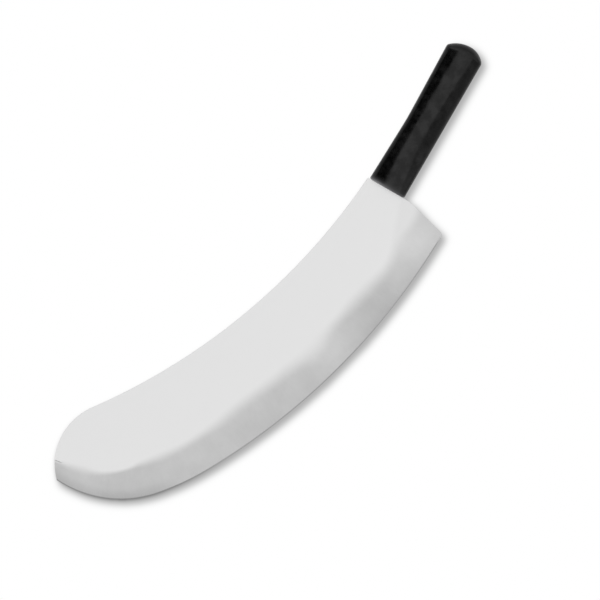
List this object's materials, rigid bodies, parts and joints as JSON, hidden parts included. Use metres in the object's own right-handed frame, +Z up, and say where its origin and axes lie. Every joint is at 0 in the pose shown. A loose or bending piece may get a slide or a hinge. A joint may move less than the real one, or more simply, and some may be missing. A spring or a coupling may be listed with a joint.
{
  "type": "mincing knife",
  "caption": "Long crescent mincing knife: a wide steel blade with a hollow back, a rounded tip and a ground cutting edge, on a plain black moulded handle.",
  "frame": {"origin": "on the surface the knife lies on, under the middle of the knife's bounding box", "axes": "+Z up from the surface the knife lies on, +X from the blade's tip towards the handle's butt, +Y from the cutting edge towards the blade's back"},
  "size_m": [0.581, 0.149, 0.033],
  "materials": {
    "blade_steel": "satin stainless steel with a finely ground band along the cutting edge",
    "handle_plastic": "black moulded plastic with a fine satin texture"
  },
  "bodies": {
    "root": {"blade": "blade_steel", "handle": "handle_plastic"}
  },
  "joints": []
}
